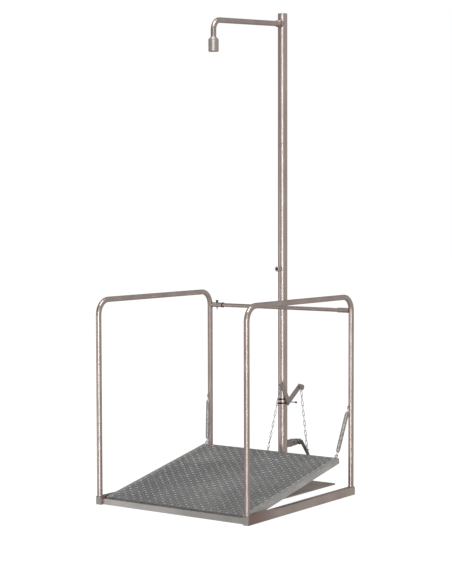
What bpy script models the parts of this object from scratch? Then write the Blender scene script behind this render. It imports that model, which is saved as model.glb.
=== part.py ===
"""Walk-on emergency shower: a hinged, spring-held platform in a tubular guard frame works a ball valve
on the standpipe through two chains and a bell crank.

Metres, +Z up. The origin is on the floor at the standpipe's axis, +X to the right and -Y towards the
user who walks on.
"""
import math

import bmesh
import bpy
from mathutils import Matrix, Vector

# ---- driving dimensions ----
GAP = 0.0003                      # clearance between pieces that touch
RAIL_R = 0.01345                  # guard rail and overhead arm, 26.9 mm tube
PIPE_R = 0.02415                  # standpipe, 48.3 mm tube
WALL = 0.0024                     # tube wall
HALF_WIDTH = 0.438                # uprights to the centre plane
FRONT_Y = -0.956                  # front uprights
REAR_Y = -0.040                   # rear uprights
RAIL_Z = 1.000                    # top of the guard rails, tube centre
RAIL_BEND = 0.072
BAR_W = 0.030                     # side bars of the base
BAR_H = 0.040
BAR_FRONT = -0.968
BAR_REAR = -0.025
CAP_T = 0.003
PLATE_HALF = 0.228                # floor plate under the standpipe
PLATE_Y = (-0.650, 0.152)
STRAP_DEPTH = 0.050

TILT = math.radians(11.2)         # platform slope at rest
HINGE = Vector((0.0, -0.918, 0.024))
DECK_HALF = 0.419
DECK_FRONT = -0.012               # from the hinge axis, along the platform
DECK_REAR = 0.812
SKIRT_LOW = -0.014                # from the hinge axis, square to the platform
DECK_TOP = 0.014
PLATE_T = 0.0037
SKIRT_T = 0.003

PIPE_TOP = 2.440
ARM_Z = 2.386                     # arm's axis at the standpipe
ARM_Y = -0.603
ARM_CORNER_Z = 2.352
ARM_BEND = 0.052
NOZZLE_TOP = 2.270
NOZZLE_BOTTOM = 2.200
NOZZLE_R = 0.025

CROSS_Z = 0.930
CROSS_R = 0.010
SOCKET_R = 0.0125
PIN_X = -0.392                    # locking pin of the cross bar

CRANK = Vector((0.0, 0.0, 0.438))           # bell crank axis, along X
FRONT_TIP = Vector((0.0, -0.058, 0.530))
REAR_TIP = Vector((0.0, 0.104, 0.507))
CRANK_NOSE = Vector((0.0, 0.134, 0.500))
CRANK_X = (0.033, 0.038)
CRANK_ARM = 0.0290                # width of its two arms
FRONT_CHAIN_X = 0.026
REAR_CHAIN_X = 0.044

HOOP_Z = (0.430, 0.4515)          # middles of the two hoops that clamp the crank's mount
HOOP_H = 0.006
HOOP_SLIT = 0.001                 # half of the gap between a hoop's ears
EAR_T = 0.006
EAR_REACH = 0.040
EAR_BOLT = 0.0345

VALVE = Vector((0.0, 0.105, 0.210))         # ball valve's spindle axis, along X
LEVER_BEND = Vector((0.0, 0.128, 0.212))
LEVER_END = Vector((0.0, 0.192, 0.135))
LEVER_PIN = Vector((0.0, 0.16735, 0.16466))

SPRING_TOP = Vector((0.436, -0.062, 0.445))
SPRING_EYE = Vector((0.402, 0.820, 0.0205))  # in the platform's own frame
LUG_SLOT = 0.010                  # how far a hook can shift forward in the platform's lug
SPRING_R = 0.0105
HOOK_R = 0.006
WIRE_R = 0.0017
COIL_START = 0.023
COIL_LENGTH = 0.211

CHAIN_PIN = Vector((-0.020, 0.820, -0.002))  # in the platform's own frame
CHAIN_R = 0.003
CHAIN_WIRE = 0.0016
CHAIN_RING = 0.0060


# ---- scene, materials and parents ----
def clear_scene():
    for old in list(bpy.data.objects):
        bpy.data.objects.remove(old, do_unlink=True)


def material(name, colour, roughness, metallic):
    made = bpy.data.materials.new(name)
    made.use_nodes = True
    shader = made.node_tree.nodes["Principled BSDF"]
    shader.inputs["Base Color"].default_value = (*colour, 1.0)
    shader.inputs["Roughness"].default_value = roughness
    shader.inputs["Metallic"].default_value = metallic
    return made


def empty(name, matrix):
    made = bpy.data.objects.new(name, None)
    bpy.context.scene.collection.objects.link(made)
    made.matrix_world = matrix
    return made


def add(name, mesh_work, finish, parent=None, location=(0, 0, 0)):
    """Links a bmesh as a named object with its normals facing out."""
    bmesh.ops.remove_doubles(mesh_work, verts=mesh_work.verts, dist=1e-6)
    bmesh.ops.recalc_face_normals(mesh_work, faces=mesh_work.faces)
    mesh = bpy.data.meshes.new(name)
    mesh_work.to_mesh(mesh)
    mesh_work.free()
    mesh.shade_smooth()
    mesh.set_sharp_from_angle(angle=math.radians(35))
    mesh.materials.append(finish)
    made = bpy.data.objects.new(name, mesh)
    bpy.context.scene.collection.objects.link(made)
    made.parent = parent
    made.location = location
    return made


# ---- shape makers ----
def skin_rings(work, rings, closed):
    """Faces between neighbouring rings; a ring of one vertex is a pole."""
    count = len(rings)
    last = count if closed else count - 1
    for index in range(last):
        low, high = rings[index], rings[(index + 1) % count]
        sides = max(len(low), len(high))
        for side in range(sides):
            after = (side + 1) % sides
            corners = [low[side % len(low)], low[after % len(low)]]
            corners += [high[after % len(high)], high[side % len(high)]]
            unique = list(dict.fromkeys(corners))
            if len(unique) > 2:
                work.faces.new(unique)


def turned(name, profile, finish, axis="Z", location=(0, 0, 0), sides=24, parent=None, phase=0.0):
    """Turns (radius, height) points; a profile that starts on the axis is solid, others are rings."""
    work = bmesh.new()
    rings = []
    for radius, height in profile:
        ring = []
        steps = sides if radius > 0 else 1
        for side in range(steps):
            angle = math.tau * side / sides + phase
            ring.append(work.verts.new((radius * math.cos(angle), radius * math.sin(angle), height)))
        rings.append(ring)
    skin_rings(work, rings, closed=profile[0][0] > 0)
    turn = {"Z": Matrix.Identity(3), "X": Matrix.Rotation(math.pi / 2, 3, "Y"),
            "Y": Matrix.Rotation(-math.pi / 2, 3, "X")}[axis]
    bmesh.ops.transform(work, matrix=turn.to_4x4(), verts=work.verts)
    return add(name, work, finish, parent, location)


def hexagon(name, flats, hole, low, high, finish, axis, location, parent=None):
    """A hexagonal nut with chamfered faces, by its width across flats and the radius that its hole clears."""
    corner = math.cos(math.pi / 6)
    inner, outer, chamfer = hole / corner, flats / 2 / corner, 0.0008
    profile = [(inner, low), (outer - chamfer, low), (outer, low + chamfer), (outer, high - chamfer),
               (outer - chamfer, high), (inner, high)]
    return turned(name, profile, finish, axis, location, 6, parent, phase=math.pi / 6)


def swept(name, path, radii, finish, wall=0.0, sides=16, parent=None, location=(0, 0, 0)):
    """A round bar or tube along a path, with one radius for each point or one for all."""
    work = bmesh.new()
    points = [Vector(point) for point in path]
    if not isinstance(radii, (list, tuple)):
        radii = [radii] * len(points)
    normal = None
    outer, inner = [], []
    for index, point in enumerate(points):
        before = (point - points[index - 1]).normalized() if index else None
        after = (points[index + 1] - point).normalized() if index < len(points) - 1 else None
        along = ((before or after) + (after or before)).normalized()
        if normal is None:
            normal = along.orthogonal().normalized()
        normal = (normal - along * normal.dot(along)).normalized()
        across = along.cross(normal)
        for rings, radius in ((outer, radii[index]), (inner, radii[index] - wall)):
            ring = []
            for side in range(sides):
                angle = math.tau * side / sides
                arm = normal * math.cos(angle) + across * math.sin(angle)
                ring.append(work.verts.new(point + radius * arm))
            rings.append(ring)
    if wall:
        skin_rings(work, outer + inner[::-1], closed=True)
    else:
        for ring in inner:
            bmesh.ops.delete(work, geom=ring, context="VERTS")
        skin_rings(work, outer, closed=False)
        work.faces.new(outer[0])
        work.faces.new(outer[-1])
    return add(name, work, finish, parent, location)


def rounded_path(corners, bend, steps=8):
    """A polyline whose inner corners are arcs of the given bend radius."""
    corners = [Vector(corner) for corner in corners]
    path = [corners[0]]
    for before, corner, after in zip(corners, corners[1:], corners[2:]):
        back = (before - corner).normalized()
        ahead = (after - corner).normalized()
        half = back.angle(ahead) / 2
        centre = corner + (back + ahead).normalized() * (bend / math.sin(half))
        start = corner + back * (bend / math.tan(half)) - centre
        finish = corner + ahead * (bend / math.tan(half)) - centre
        sweep = start.angle(finish)
        for step in range(steps + 1):
            share = step / steps
            arm = start * math.sin((1 - share) * sweep) + finish * math.sin(share * sweep)
            path.append(centre + arm / math.sin(sweep))
    path.append(corners[-1])
    return path


def block(name, low, high, finish, bevel=0.0, parent=None):
    """A box between two corners, with its edges rounded over."""
    work = bmesh.new()
    size = Vector(high) - Vector(low)
    bmesh.ops.create_cube(work, size=1.0, matrix=Matrix.Diagonal((*size, 1.0)))
    if bevel:
        bmesh.ops.bevel(work, geom=work.edges[:], offset=bevel, segments=2, profile=0.5, affect="EDGES")
    return add(name, work, finish, parent, (Vector(low) + Vector(high)) / 2)


def box_tube(name, low, high, wall, along, finish):
    """A rectangular tube, open at both ends, along X or Y."""
    work = bmesh.new()
    low, high = Vector(low), Vector(high)
    across = 1 if along == 0 else 0
    rings = []
    for end, inset in ((low[along], 0), (high[along], 0), (high[along], wall), (low[along], wall)):
        ring = []
        for side, top in ((0, 0), (1, 0), (1, 1), (0, 1)):
            corner = Vector((0, 0, 0))
            corner[along] = end
            corner[across] = (high[across] - inset) if side else (low[across] + inset)
            corner.z = (high.z - inset) if top else (low.z + inset)
            ring.append(work.verts.new(corner))
        rings.append(ring)
    skin_rings(work, rings, closed=True)
    return add(name, work, finish)


def circle(centre, radius, steps=16):
    """Points (y, z) round a hole."""
    turns = [math.tau * step / steps for step in range(steps)]
    return [(centre[0] + radius * math.cos(turn), centre[1] + radius * math.sin(turn)) for turn in turns]


def ribbon(points, width, round_steps=6):
    """The outline (y, z) of a flat strip of constant width along a line, with round ends."""
    line = [Vector(point) for point in points]
    half = width / 2
    left, right = [], []
    for index, point in enumerate(line):
        before = (point - line[index - 1]).normalized() if index else None
        after = (line[index + 1] - point).normalized() if index < len(line) - 1 else None
        along = ((before or after) + (after or before)).normalized()
        side = Vector((-along.y, along.x)) * half / max(0.6, along.dot(after or before))
        left.append(point + side)
        right.append(point - side)
    outline = list(right)
    for end, rim in ((line[-1], right[-1]), (line[0], left[0])):
        start = math.atan2(rim.y - end.y, rim.x - end.x)
        for step in range(1, round_steps):
            angle = start + math.pi * step / round_steps
            outline.append(end + half * Vector((math.cos(angle), math.sin(angle))))
        if end is line[-1]:
            outline.extend(reversed(left))
    return [tuple(point) for point in outline]


def side_plate(name, outline, x_range, finish, holes=(), parent=None, location=(0, 0, 0)):
    """A flat plate square to X from its (y, z) outline, with round holes through it."""
    work = bmesh.new()
    edges = []
    for loop in (outline, *holes):
        corners = [work.verts.new((x_range[0], y, z)) for y, z in loop]
        edges += [work.edges.new((corner, corners[index - 1])) for index, corner in enumerate(corners)]
    filled = bmesh.ops.triangle_fill(work, use_beauty=True, use_dissolve=False, edges=edges)
    faces = [item for item in filled["geom"] if isinstance(item, bmesh.types.BMFace)]
    raised = bmesh.ops.extrude_face_region(work, geom=faces, use_keep_orig=True)
    moved = [item for item in raised["geom"] if isinstance(item, bmesh.types.BMVert)]
    bmesh.ops.translate(work, verts=moved, vec=(x_range[1] - x_range[0], 0, 0))
    return add(name, work, finish, parent, location)


def guide(made):
    """Marks an object as a cutter or a joining shape that isn't a piece itself."""
    made.hide_render = True
    made.display_type = "WIRE"
    return made


def boolean(target, tool, operation):
    step = target.modifiers.new(operation.title(), "BOOLEAN")
    step.operation = operation
    step.object = guide(tool)


# ---- base frame ----
def end_cap(name, x_centre, y_face, inward, finish):
    """A cover plate over a side bar's end with a plug that fills the tube."""
    work = bmesh.new()
    half_w, half_h = BAR_W / 2, BAR_H / 2
    size = (BAR_W, CAP_T, BAR_H, 1.0)
    bmesh.ops.create_cube(work, size=1.0, matrix=Matrix.Diagonal(size))
    work.normal_update()
    inner = [face for face in work.faces if face.normal.y * inward > 0.9]
    step = WALL + GAP
    bmesh.ops.inset_region(work, faces=inner, thickness=step, use_even_offset=True)
    plug = bmesh.ops.extrude_face_region(work, geom=inner)
    moved = [item for item in plug["geom"] if isinstance(item, bmesh.types.BMVert)]
    bmesh.ops.delete(work, geom=inner, context="FACES_ONLY")
    bmesh.ops.translate(work, verts=moved, vec=(0, inward * (half_w - GAP), 0))
    rim = [edge for edge in work.edges if all(vert.co.y * inward < -CAP_T / 3 for vert in edge.verts)]
    bmesh.ops.bevel(work, geom=rim, offset=0.001, segments=2, profile=0.5, affect="EDGES")
    return add(name, work, finish, None, (x_centre, y_face + inward * CAP_T / 2, half_h))


def base_frame(steel, pale):
    for side, word in ((-1, "left"), (1, "right")):
        centre = side * HALF_WIDTH
        low = (centre - BAR_W / 2, BAR_FRONT + CAP_T + GAP, 0)
        high = (centre + BAR_W / 2, BAR_REAR - CAP_T - GAP, BAR_H)
        box_tube(f"side_bar_{word}", low, high, WALL, 1, steel)
        end_cap(f"bar_cap_front_{word}", centre, BAR_FRONT, 1, pale)
        end_cap(f"bar_cap_rear_{word}", centre, BAR_REAR, -1, steel)
    inside = HALF_WIDTH - BAR_W / 2 - GAP
    box_tube("front_bar", (-inside, -0.956, 0.002), (inside, -0.936, 0.030), WALL, 0, pale)
    front, back = PLATE_Y
    block("tie_strap", (-inside, front - STRAP_DEPTH, 0), (inside, front - GAP, 0.006), steel, 0.001)
    block("floor_plate", (-PLATE_HALF, front, 0), (PLATE_HALF, back, 0.008), steel, 0.0015)


def guard_rails(steel):
    for side, word in ((-1, "left"), (1, "right")):
        x = side * HALF_WIDTH
        foot = BAR_H + GAP
        corners = [(x, FRONT_Y, foot), (x, FRONT_Y, RAIL_Z), (x, REAR_Y, RAIL_Z), (x, REAR_Y, foot)]
        swept(f"guard_rail_{word}", rounded_path(corners, RAIL_BEND), RAIL_R, steel, wall=WALL, sides=20)
        eye = circle((SPRING_TOP.y, SPRING_TOP.z), 0.0042)
        x_range = sorted((side * (SPRING_TOP.x - 0.0025), side * (SPRING_TOP.x + 0.0025)))
        side_plate(f"upright_lug_{word}", upright_outline(), x_range, steel, [eye])


def upright_outline():
    """The spring lug on a rear upright: square against the tube, round about its hole."""
    root = REAR_Y - RAIL_R - GAP
    centre = Vector((SPRING_TOP.y, SPRING_TOP.z))
    nose = 0.0072
    points = [(root, centre.y - 0.012), (root, centre.y + 0.012)]
    for step in range(9):
        angle = math.radians(100 + 160 * step / 8)
        points.append(tuple(centre + nose * Vector((math.cos(angle), math.sin(angle)))))
    return points


def cross_bar(steel, dark):
    """A telescopic tie between the rear uprights, pinned in its left socket."""
    end = HALF_WIDTH - RAIL_R - GAP
    left = (-end, -0.350)
    right = (0.358, end)
    hole = turned("pin_hole", [(0, -0.02), (0.0034, -0.02), (0.0034, 0.02), (0, 0.02)], steel,
                  location=(PIN_X, REAR_Y, CROSS_Z), sides=16)
    for word, (low, high) in (("left", left), ("right", right)):
        inner = CROSS_R + GAP
        mouth = 0.0015
        profile = [(inner, 0), (SOCKET_R - mouth, 0), (SOCKET_R, mouth), (SOCKET_R, high - low - mouth),
                   (SOCKET_R - mouth, high - low), (inner, high - low)]
        socket = turned(f"cross_socket_{word}", profile, steel, "X", (low, REAR_Y, CROSS_Z))
        if word == "left":
            boolean(socket, hole, "DIFFERENCE")
    bar = swept("cross_bar", [(-0.414, REAR_Y, CROSS_Z), (0.414, REAR_Y, CROSS_Z)], CROSS_R, steel,
                wall=0.002, sides=24)
    boolean(bar, hole, "DIFFERENCE")
    tip, shank = 0.0008, 0.003
    profile = [(0, -0.026), (tip, -0.026), (shank, -0.017), (shank, 0.0128), (0.0058, 0.0128),
               (0.0058, 0.0185), (shank, 0.0195), (shank, 0.025), (0, 0.025)]
    pin = turned("locking_pin", profile, dark, location=(PIN_X, REAR_Y, CROSS_Z), sides=16)
    grip = swept("pin_grip", [(-0.008, 0, 0.0225), (0.008, 0, 0.0225)], 0.0026, dark, sides=12,
                 location=(PIN_X, REAR_Y, CROSS_Z))
    boolean(pin, grip, "UNION")


# ---- standpipe, arm and nozzle ----
def pipe_cutter(steel):
    reach = PIPE_R + GAP + 0.0001
    return guide(turned("pipe_space", [(0, -0.1), (reach, -0.1), (reach, 2.6), (0, 2.6)], steel, sides=32))


def standpipe(steel, dark, cutter):
    foot = 0.008 + GAP
    head = PIPE_TOP - 0.004
    inner = PIPE_R - 0.0026
    turned("standpipe", [(inner, foot), (PIPE_R, foot), (PIPE_R, head), (inner, head)], steel, sides=32)
    plug = inner - GAP
    profile = [(0, head - 0.008), (plug, head - 0.008), (plug, head + GAP), (PIPE_R, head + GAP),
               (PIPE_R, PIPE_TOP - 0.0012), (PIPE_R - 0.0012, PIPE_TOP), (0, PIPE_TOP)]
    turned("pipe_cap", profile, steel, sides=32)
    corners = [(0, 0.0, ARM_Z + 0.0014), (0, ARM_Y, ARM_CORNER_Z), (0, ARM_Y, NOZZLE_TOP + GAP)]
    arm = swept("overhead_arm", rounded_path(corners, ARM_BEND, 10), RAIL_R, steel, wall=WALL, sides=20)
    boolean(arm, cutter, "DIFFERENCE")
    port_z = 1.129
    stub = [(0.0055, 0.0), (0.010, 0.0), (0.010, 0.034), (0.0135, 0.035), (0.0135, 0.054), (0.0125, 0.055),
            (0.0068, 0.055), (0.0068, 0.040), (0.0055, 0.040)]
    stub = [(radius, -along) for radius, along in stub]
    port = turned("side_port", stub, steel, "Y", (0, 0, port_z), sides=20)
    boolean(port, cutter, "DIFFERENCE")
    plug_face = [(0, -0.0410), (0.0065, -0.0410), (0.0065, -0.0565), (0.0045, -0.0575), (0, -0.0575)]
    turned("port_plug", plug_face, dark, "Y", (0, 0, port_z), sides=16)


def nozzle(steel, dark):
    """A turned bell with a perforated spray plate set into its mouth."""
    wall = 0.002
    waist = RAIL_R
    cone = NOZZLE_TOP - 0.012
    mouth = NOZZLE_R - wall
    profile = [(waist - WALL, NOZZLE_TOP), (waist, NOZZLE_TOP), (NOZZLE_R, cone),
               (NOZZLE_R, NOZZLE_BOTTOM + 0.0015), (NOZZLE_R - 0.001, NOZZLE_BOTTOM), (mouth, NOZZLE_BOTTOM),
               (mouth, cone - 0.001), (waist - WALL, NOZZLE_TOP - 0.003)]
    turned("nozzle_body", profile, steel, location=(0, ARM_Y, 0), sides=32)
    rim = mouth - GAP
    face = NOZZLE_BOTTOM + 0.003
    plate = [(0, face), (rim - 0.004, face), (rim, face - 0.001), (rim, face + 0.004), (0, face + 0.004)]
    turned("spray_plate", plate, dark, location=(0, ARM_Y, 0), sides=32)


# ---- platform, in its own frame: hinge axis at the origin, +Y along the deck ----
def platform(steel, deck, dark):
    hinge = empty("platform_hinge", Matrix.Translation(HINGE) @ Matrix.Rotation(TILT, 4, "X"))
    under = DECK_TOP - PLATE_T
    top = under - GAP
    block("tread_plate", (-DECK_HALF, DECK_FRONT, under), (DECK_HALF, DECK_REAR, DECK_TOP), deck, 0.0008,
          hinge)
    pin_hole = guide(turned("hinge_space", [(0, -0.5), (0.0053, -0.5), (0.0053, 0.5), (0, 0.5)], steel, "X",
                            parent=hinge, sides=24))
    for side, word in ((-1, "left"), (1, "right")):
        span = sorted((side * (DECK_HALF - SKIRT_T), side * DECK_HALF))
        skirt = block(f"platform_side_{word}", (span[0], DECK_FRONT, SKIRT_LOW), (span[1], DECK_REAR, top),
                      steel, 0.0004, hinge)
        boolean(skirt, pin_hole, "DIFFERENCE")
        root = HALF_WIDTH - BAR_W / 2 - GAP
        reach = [(0, 0.0), (0.0045, 0.0), (0.005, 0.0005), (0.005, root - 0.407), (0, root - 0.407)]
        place = (0.407, HINGE.y, HINGE.z) if side > 0 else (-root, HINGE.y, HINGE.z)
        turned(f"hinge_pin_{word}", reach, steel, "X", place, sides=16)
        eye_x = side * SPRING_EYE.x
        x_range = sorted((eye_x - 0.0025, eye_x + 0.0025))
        eye = Vector((SPRING_EYE.y, SPRING_EYE.z))
        slot = ribbon([eye - Vector((LUG_SLOT, 0)), eye], 0.0098)
        side_plate(f"platform_lug_{word}", lug_outline(), x_range, steel, [slot], hinge)
    inside = DECK_HALF - SKIRT_T - GAP
    walls = (("front", DECK_FRONT, DECK_FRONT + SKIRT_T, SKIRT_LOW),
             ("rear", DECK_REAR - SKIRT_T, DECK_REAR, SKIRT_LOW), ("rib", 0.398, 0.403, SKIRT_LOW + 0.001))
    for word, near, far, low in walls:
        block(f"platform_{word}", (-inside, near, low), (inside, far, top), steel, 0.0004, hinge)
    root = DECK_REAR + GAP
    outline = [(root, -0.013), (0.822, -0.010), (0.828, -0.002), (0.822, 0.006), (root, 0.009)]
    face = CHAIN_PIN.x - 0.005
    lug = side_plate("chain_lug", outline, (face - 0.004, face), steel, parent=hinge)
    root, tip = face - 0.003, face + 0.0095
    stud = [(0, root), (0.003, root), (0.003, tip), (0, tip)]
    boolean(lug, turned("chain_stud", stud, dark, "X", (0, CHAIN_PIN.y, CHAIN_PIN.z), 16, hinge), "UNION")
    return hinge


def lug_outline():
    """The spring lug on the deck's rear corner: a flat foot under a slotted eye with a round back."""
    eye = Vector((SPRING_EYE.y, SPRING_EYE.z))
    foot = DECK_TOP + GAP
    points = [(eye.x - LUG_SLOT - 0.012, foot), (eye.x + 0.006, foot)]
    for centre, start in ((eye, -20), (eye - Vector((LUG_SLOT, 0)), 90)):
        for step in range(6):
            angle = math.radians(start + 110 * step / 5)
            points.append(tuple(centre + 0.0078 * Vector((math.cos(angle), math.sin(angle)))))
    return points


# ---- bell crank on the standpipe ----
def hoop_outline(outer):
    """The plan (x, y) of a split hoop round the standpipe, with two ears towards the front."""
    inner = PIPE_R + GAP
    start = math.asin(EAR_T / outer)
    mouth = math.asin(HOOP_SLIT / inner)
    steps = 24
    outline = [(HOOP_SLIT, -EAR_REACH), (EAR_T, -EAR_REACH)]
    for step in range(steps + 1):
        angle = -math.pi / 2 + start + (math.tau - 2 * start) * step / steps
        outline.append((outer * math.cos(angle), outer * math.sin(angle)))
    outline += [(-EAR_T, -EAR_REACH), (-HOOP_SLIT, -EAR_REACH)]
    for step in range(steps + 1):
        angle = 1.5 * math.pi - mouth - (math.tau - 2 * mouth) * step / steps
        outline.append((inner * math.cos(angle), inner * math.sin(angle)))
    return outline


def crank_bracket(steel, dark):
    """Two split hoops hold a plate to the standpipe's right side, and a spindle is welded to the plate."""
    outer = 0.0277
    for word, middle in (("lower", HOOP_Z[0]), ("upper", HOOP_Z[1])):
        low, high = middle - HOOP_H / 2, middle + HOOP_H / 2
        work = bmesh.new()
        face = work.faces.new([work.verts.new((x, y, low)) for x, y in hoop_outline(outer)])
        raised = bmesh.ops.extrude_face_region(work, geom=[face], use_keep_orig=True)
        moved = [item for item in raised["geom"] if isinstance(item, bmesh.types.BMVert)]
        bmesh.ops.translate(work, verts=moved, vec=(0, 0, high - low))
        bmesh.ops.triangulate(work, faces=work.faces[:], ngon_method="EAR_CLIP")
        hoop = add(f"crank_hoop_{word}", work, dark)
        place = (0, -EAR_BOLT, middle)
        shank, head, reach = 0.002, 0.0042, EAR_T + GAP
        hole = shank + GAP
        space = turned(f"bolt_space_{word}", [(0, -0.02), (hole, -0.02), (hole, 0.02), (0, 0.02)], steel, "X",
                       place, 12)
        boolean(hoop, space, "DIFFERENCE")
        under, nut, tip = reach + 0.004, reach + 0.0035, reach + 0.006
        profile = [(0, -under), (head, -under), (head, -reach), (shank, -reach), (shank, reach),
                   (head, reach), (head, nut), (shank, nut), (shank, tip), (0, tip)]
        turned(f"hoop_bolt_{word}", profile, dark, "X", place, 6)
    back = outer + GAP
    face = 0.0310
    low, high = (back, -0.009, HOOP_Z[0] - 0.006), (face, 0.009, HOOP_Z[1] + 0.006)
    mount = block("crank_spindle", low, high, steel, 0.0005)
    root, flange, step = face - 0.001, 0.0075, 0.0322
    profile = [(0, root), (flange, root), (flange, step), (0.005, step), (0.005, 0.0410), (0.003, 0.0420),
               (0.003, 0.088), (0, 0.088)]
    boolean(mount, turned("spindle_rod", profile, steel, "X", (0, CRANK.y, CRANK.z), 20), "UNION")
    hexagon("spindle_nut", 0.0105, 0.0034, 0.080, 0.0855, dark, "X", (0, CRANK.y, CRANK.z))


def rivet(name, x_points, radius, head, finish, centre, parent=None):
    """A headed pin through a plate: tail, plate, long shank, head."""
    tail, plate_low, plate_high, shank_end, end = x_points
    profile = [(0, tail), (head, tail), (head, plate_low), (radius, plate_low), (radius, plate_high),
               (radius, shank_end), (head, shank_end), (head, end), (0, end)]
    return turned(name, profile, finish, "X", (0, centre.y, centre.z), 16, parent)


def bell_crank(steel, dark):
    """A V of plate on a hub: its front arm is pulled by the platform, its rear arm lifts the valve chain."""
    pivot = empty("crank_axis", Matrix.Translation(CRANK))
    line = [(point - CRANK).yz for point in (FRONT_TIP, CRANK, REAR_TIP, CRANK_NOSE)]
    holes = [circle((0, 0), 0.0085)]
    holes += [circle((point - CRANK).yz, 0.0036, 12) for point in (FRONT_TIP, REAR_TIP)]
    crank = side_plate("bell_crank", ribbon(line, CRANK_ARM), CRANK_X, steel, holes, pivot)
    hub = [(0.0053, 0.0326), (0.0125, 0.0326), (0.0125, 0.0402), (0.0053, 0.0402)]
    boolean(crank, turned("crank_hub", hub, steel, "X", (0, 0, 0), 24, pivot), "UNION")
    low, high = CRANK_X
    front = (high + GAP + 0.002, high + GAP, low - GAP, 0.0205, 0.0185)
    rear = (low - GAP - 0.002, low - GAP, high + GAP, 0.0495, 0.0515)
    rivet("crank_front_pin", front, 0.0032, 0.0058, dark, FRONT_TIP - CRANK, pivot)
    rivet("crank_rear_pin", rear, 0.0032, 0.0058, dark, REAR_TIP - CRANK, pivot)


# ---- water inlet and ball valve, along +Y ----
def inlet_valve(steel, brass, dark, cutter):
    z = VALVE.z
    bore = 0.0085
    wide, end = 0.0195, 0.070
    profile = [(bore, 0), (wide, 0), (wide, end - 0.002), (wide - 0.0015, end), (bore, end)]
    socket = turned("inlet_socket", profile, steel, "Y", (0, 0, z), 24)
    boolean(socket, cutter, "DIFFERENCE")
    hexagon("union_nut", 0.038, bore, end + GAP, 0.084, steel, "Y", (0, 0, z))
    half, waist = 0.0207, 0.0165
    body = [(0, -half), (waist, -half), (0.0180, -0.012), (0.0190, 0), (0.0180, 0.012), (waist, half),
            (0, half)]
    valve = turned("valve_body", body, brass, "Y", VALVE, 24)
    boss = [(0, 0.004), (0.0095, 0.004), (0.0095, 0.0235), (0, 0.0235)]
    boolean(valve, turned("stem_boss", boss, brass, "X", VALVE, 20), "UNION")
    seat = 0.0131
    rings = 10
    hollow = [(seat * math.sin(math.pi * ring / rings), -seat * math.cos(math.pi * ring / rings))
              for ring in range(rings + 1)]
    hollow[0], hollow[-1] = (0, -seat), (0, seat)
    boolean(valve, turned("ball_space", hollow, brass, "X", VALVE, 24), "DIFFERENCE")
    bore_profile = [(0, -0.03), (bore, -0.03), (bore, 0.03), (0, 0.03)]
    boolean(valve, turned("flow_space", bore_profile, brass, "Y", VALVE, 20), "DIFFERENCE")
    stem_profile = [(0, 0.0), (0.0045, 0.0), (0.0045, 0.03), (0, 0.03)]
    boolean(valve, turned("stem_space", stem_profile, brass, "X", VALVE, 16), "DIFFERENCE")
    tail = VALVE.y + half + GAP
    connector = [(bore, tail), (0.0155, tail), (0.0155, tail + 0.012), (0.0125, tail + 0.013),
                 (0.0125, 0.164), (0.0115, 0.165), (bore, 0.165)]
    turned("inlet_connector", connector, steel, "Y", (0, 0, z), 24)
    hexagon("gland_nut", 0.015, 0.0046, 0.0235 + GAP, 0.0295, dark, "X", VALVE)


def valve_lever(dark, pale):
    """The ball, its stem and the cranked lever that turn as one about the spindle axis."""
    axis = empty("valve_axis", Matrix.Translation(VALVE))
    reach = 0.0125
    rings = 10
    sphere = [(reach * math.sin(math.pi * ring / rings), -reach * math.cos(math.pi * ring / rings))
              for ring in range(rings + 1)]
    sphere[0], sphere[-1] = (0, -reach), (0, reach)
    ball = turned("valve_ball", sphere, pale, "X", (0, 0, 0), 24, axis)
    way = [(0, -0.02), (0.0075, -0.02), (0.0075, 0.02), (0, 0.02)]
    boolean(ball, turned("ball_way", way, pale, "Z", (0, 0, 0), 20, axis), "DIFFERENCE")
    stem = [(0, 0.0130), (0.0042, 0.0130), (0.0042, 0.046), (0, 0.046)]
    turned("valve_stem", stem, dark, "X", (0, 0, 0), 16, axis)
    low, high = 0.0325, 0.0375
    line = [(point - VALVE).yz for point in (VALVE, LEVER_BEND, LEVER_END)]
    holes = [circle((0, 0), 0.0045), circle((LEVER_PIN - VALVE).yz, 0.0034, 12)]
    side_plate("valve_lever", ribbon(line, 0.019), (low, high), dark, holes, axis)
    hexagon("lever_nut", 0.013, 0.0046, high + GAP, high + 0.006, pale, "X", (0, 0, 0), axis)
    points = (low - GAP - 0.0015, low - GAP, high + GAP, 0.0492, 0.0512)
    rivet("lever_pin", points, 0.0030, 0.0055, pale, LEVER_PIN - VALVE, axis)


# ---- chains, plain rods whose lower ring turns on a stud ----
def facing(origin, target):
    """A frame at origin whose +Z points at target and whose +X stays as near world X as it can."""
    up = (Vector(target) - Vector(origin)).normalized()
    across = Vector((1, 0, 0))
    across = (across - up * across.dot(up)).normalized()
    return Matrix.Translation(origin) @ Matrix((across, up.cross(across), up)).transposed().to_4x4()


def chain(name, low, high, finish):
    frame = empty(f"{name}_axis", facing(low, high))
    length = (Vector(high) - Vector(low)).length
    centre = CHAIN_RING - 0.0048
    top_gap = 0.016
    path = []
    for step in range(15):
        angle = math.radians(50 - 300 * step / 14)
        path.append((0, CHAIN_RING * math.cos(angle), centre + CHAIN_RING * math.sin(angle)))
    path += [(0, 0, centre + 2 * CHAIN_RING), (0, 0, length - top_gap)]
    radii = [CHAIN_WIRE] * (len(path) - 2) + [CHAIN_R, CHAIN_R]
    swept(name, path, radii, finish, sides=10, parent=frame)


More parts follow.
